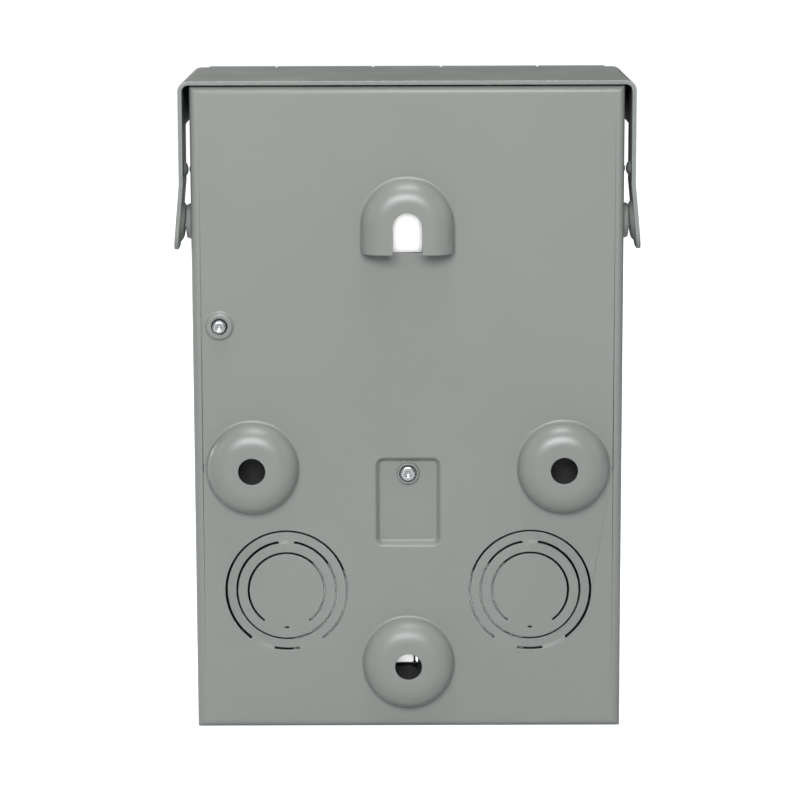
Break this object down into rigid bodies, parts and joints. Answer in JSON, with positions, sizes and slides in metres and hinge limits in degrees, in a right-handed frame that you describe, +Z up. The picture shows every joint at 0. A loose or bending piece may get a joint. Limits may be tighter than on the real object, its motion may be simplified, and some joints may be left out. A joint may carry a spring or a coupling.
{
  "type": "ac disconnect box",
  "caption": "Outdoor grey steel disconnect box with a riveted rain hood, flip-up door, toggle switch, lugs, pressed wall bosses and ring knockouts.",
  "frame": {"origin": "centre of the bounding box's base: the level of the box's underside", "axes": "+Z up, +Y out of the back towards the wall, the door faces -Y, +X to the left as seen from behind"},
  "size_m": [0.134, 0.0844, 0.1895],
  "materials": {
    "grey_enamel": "semi-gloss grey baked enamel",
    "zinc": "bright zinc plate",
    "label_paper": "blank white label",
    "black_moulding": "fine moulded texture",
    "grey_moulding": "fine moulded texture",
    "copper": "bare rolled copper",
    "lug_aluminium": "extruded, tin plated"
  },
  "bodies": {
    "box": {"enclosure_body": "grey_enamel", "rain_hood": "grey_enamel", "door_hinge_pin": "zinc", "padlock_hasp": "zinc", "hasp_rivet": "zinc", "hood_rivet_left": "zinc", "hood_rivet_right": "zinc", "switch_base": "black_moulding", "base_mounting_screw": "zinc", "switch_case": "black_moulding", "switch_cover": "black_moulding", "mechanism_frame": "zinc", "toggle_pin": "zinc", "dead_front": "grey_moulding", "line_strap_right": "copper", "load_strap_right": "copper", "line_lug_right": "lug_aluminium", "load_lug_right": "lug_aluminium", "line_lug_screw_right": "zinc", "load_lug_screw_right": "zinc", "line_strap_left": "copper", "load_strap_left": "copper", "line_lug_left": "lug_aluminium", "load_lug_left": "lug_aluminium", "line_lug_screw_left": "zinc", "load_lug_screw_left": "zinc", "case_screw_top_right": "zinc", "case_screw_top_left": "zinc", "case_screw_bottom_right": "zinc", "case_screw_bottom_left": "zinc", "dead_front_screw_1": "zinc", "dead_front_screw_2": "zinc", "earth_bar": "lug_aluminium", "earth_bar_screw": "zinc", "earth_terminal_screw_1": "zinc", "earth_terminal_screw_2": "zinc"},
    "door_body": {"door": "grey_enamel", "door_label": "label_paper"},
    "toggle_body": {"switch_toggle": "grey_moulding"},
    "rotor_body": {"contact_rotor": "grey_moulding", "contact_arm_left": "copper", "contact_arm_right": "copper"}
  },
  "joints": [
    {"name": "door_hinge", "type": "hinge", "parent": "box", "child": "door_body", "pos_m": [0, -0.02985, 0.1865], "axis": [-1, 0, 0], "range_deg": [0, 195]},
    {"name": "toggle", "type": "hinge", "parent": "box", "child": "toggle_body", "pos_m": [0, -0.00275, 0.092], "axis": [1, 0, 0], "range_deg": [0, 44]},
    {"name": "contact_turn", "type": "hinge", "parent": "box", "child": "rotor_body", "pos_m": [0, 0.01175, 0.092], "axis": [1, 0, 0], "range_deg": [0, 35.2]}
  ],
  "couplings": [
    {"joint": "contact_turn", "follows": "toggle", "ratio": 0.8}
  ]
}
